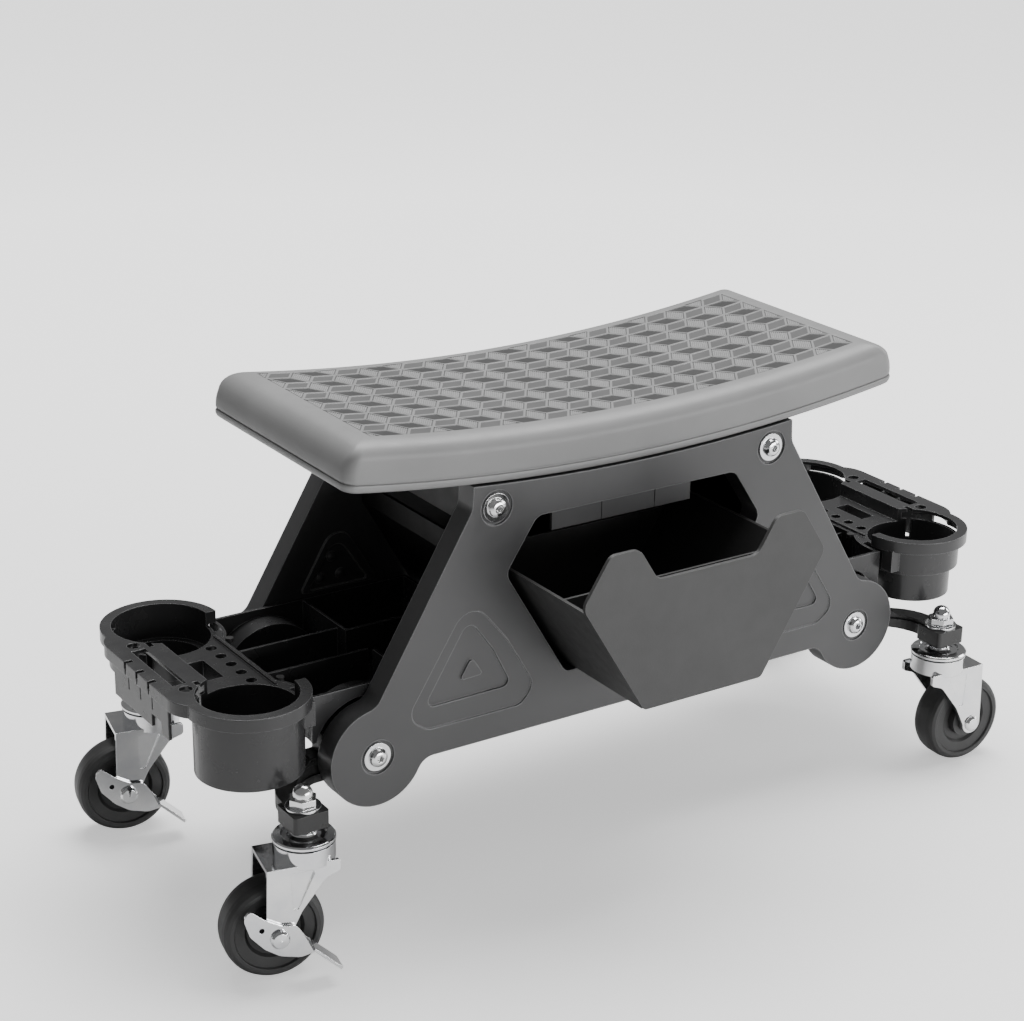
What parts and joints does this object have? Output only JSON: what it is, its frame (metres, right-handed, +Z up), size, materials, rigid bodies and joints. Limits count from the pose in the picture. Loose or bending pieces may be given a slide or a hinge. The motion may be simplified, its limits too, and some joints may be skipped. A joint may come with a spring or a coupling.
{
  "type": "mechanics creeper seat",
  "caption": "Low rolling mechanic's seat with a saddle cushion, slide-out drawer, end tool trays and swivel casters.",
  "frame": {"origin": "on the floor under the middle of the bounding box, with the drawer pulled out as stored", "axes": "+X along the cushion's length, -Y the drawer side, +Z up"},
  "size_m": [0.738, 0.3482, 0.3794],
  "materials": {
    "seat_foam": "soft moulded foam skin, matte grey",
    "base_plastic": "moulded, matte black",
    "pale_plastic": "moulded, light grey",
    "panel_plastic": "moulded, fine texture, charcoal",
    "guide_plastic": "moulded, black",
    "drawer_paint": "powder-coated sheet, dark grey",
    "tray_plastic": "moulded, satin black",
    "arm_paint": "black powder coat, semi-gloss",
    "bolt_zinc": "bright zinc",
    "caster_zinc": "bright zinc plate",
    "dark_screw": "black oxide",
    "hub_plastic": "moulded, dark grey",
    "wheel_rubber": "smooth dark rubber"
  },
  "bodies": {
    "frame": {"seat_pad": "seat_foam", "seat_base": "base_plastic", "seat_flange": "pale_plastic", "side_panel_front": "panel_plastic", "side_panel_rear": "panel_plastic", "panel_bolts": "bolt_zinc", "panel_washers": "bolt_zinc", "drawer_guide": "guide_plastic", "bin_left": "tray_plastic", "bin_right": "tray_plastic", "caddy_left": "tray_plastic", "caddy_right": "tray_plastic", "tray_screws": "dark_screw", "cross_tube_left": "arm_paint", "cross_tube_right": "arm_paint", "arm_front_left": "arm_paint", "arm_rear_left": "arm_paint", "arm_front_right": "arm_paint", "arm_rear_right": "arm_paint", "caster_stems": "caster_zinc", "cap_nuts": "caster_zinc", "stem_washers": "caster_zinc", "upper_raceways": "caster_zinc"},
    "drawer": {"drawer_tray": "drawer_paint", "drawer_front": "drawer_paint", "drawer_divider": "drawer_paint"},
    "caster_front_left": {"fork_front_left": "caster_zinc", "balls_front_left": "caster_zinc", "axle_front_left": "caster_zinc"},
    "caster_rear_left": {"fork_rear_left": "caster_zinc", "balls_rear_left": "caster_zinc", "axle_rear_left": "caster_zinc"},
    "caster_front_right": {"fork_front_right": "caster_zinc", "balls_front_right": "caster_zinc", "axle_front_right": "caster_zinc"},
    "caster_rear_right": {"fork_rear_right": "caster_zinc", "balls_rear_right": "caster_zinc", "axle_rear_right": "caster_zinc"},
    "wheel_front_left": {"hub_front_left": "hub_plastic", "tyre_front_left": "wheel_rubber"},
    "wheel_rear_left": {"hub_rear_left": "hub_plastic", "tyre_rear_left": "wheel_rubber"},
    "wheel_front_right": {"hub_front_right": "hub_plastic", "tyre_front_right": "wheel_rubber"},
    "wheel_rear_right": {"hub_rear_right": "hub_plastic", "tyre_rear_right": "wheel_rubber"},
    "brake_front_left": {"brake_lever_front_left": "caster_zinc"},
    "brake_rear_left": {"brake_lever_rear_left": "caster_zinc"}
  },
  "joints": [
    {"name": "drawer_slide", "type": "slide", "parent": "frame", "child": "drawer", "axis": [0, -1, 0], "range_m": [-0.088, 0.05]},
    {"name": "swivel_front_left", "type": "hinge", "parent": "frame", "child": "caster_front_left", "pos_m": [-0.3032, -0.10963, 0.0935], "axis": [0, 0, 1], "continuous": true},
    {"name": "roll_front_left", "type": "hinge", "parent": "caster_front_left", "child": "wheel_front_left", "pos_m": [-0.32838, -0.1045, 0.0375], "axis": [-0.1994, -0.9799, 0], "continuous": true},
    {"name": "brake_pedal_front_left", "type": "hinge", "parent": "caster_front_left", "child": "brake_front_left", "pos_m": [-0.32838, -0.1045, 0.0375], "axis": [0.1994, 0.9799, 0], "range_deg": [0, 12]},
    {"name": "swivel_rear_left", "type": "hinge", "parent": "frame", "child": "caster_rear_left", "pos_m": [-0.3032, 0.14537, 0.0935], "axis": [0, 0, 1], "continuous": true},
    {"name": "roll_rear_left", "type": "hinge", "parent": "caster_rear_left", "child": "wheel_rear_left", "pos_m": [-0.32838, 0.1505, 0.0375], "axis": [-0.1994, -0.9799, 0], "continuous": true},
    {"name": "brake_pedal_rear_left", "type": "hinge", "parent": "caster_rear_left", "child": "brake_rear_left", "pos_m": [-0.32838, 0.1505, 0.0375], "axis": [0.1994, 0.9799, 0], "range_deg": [0, 12]},
    {"name": "swivel_front_right", "type": "hinge", "parent": "frame", "child": "caster_front_right", "pos_m": [0.3032, -0.10963, 0.0935], "axis": [0, 0, 1], "continuous": true},
    {"name": "roll_front_right", "type": "hinge", "parent": "caster_front_right", "child": "wheel_front_right", "pos_m": [0.32887, -0.11097, 0.0375], "axis": [0.0523, 0.9986, 0], "continuous": true},
    {"name": "swivel_rear_right", "type": "hinge", "parent": "frame", "child": "caster_rear_right", "pos_m": [0.3032, 0.14537, 0.0935], "axis": [0, 0, 1], "continuous": true},
    {"name": "roll_rear_right", "type": "hinge", "parent": "caster_rear_right", "child": "wheel_rear_right", "pos_m": [0.32834, 0.14003, 0.0375], "axis": [0.2079, 0.9781, 0], "continuous": true}
  ]
}
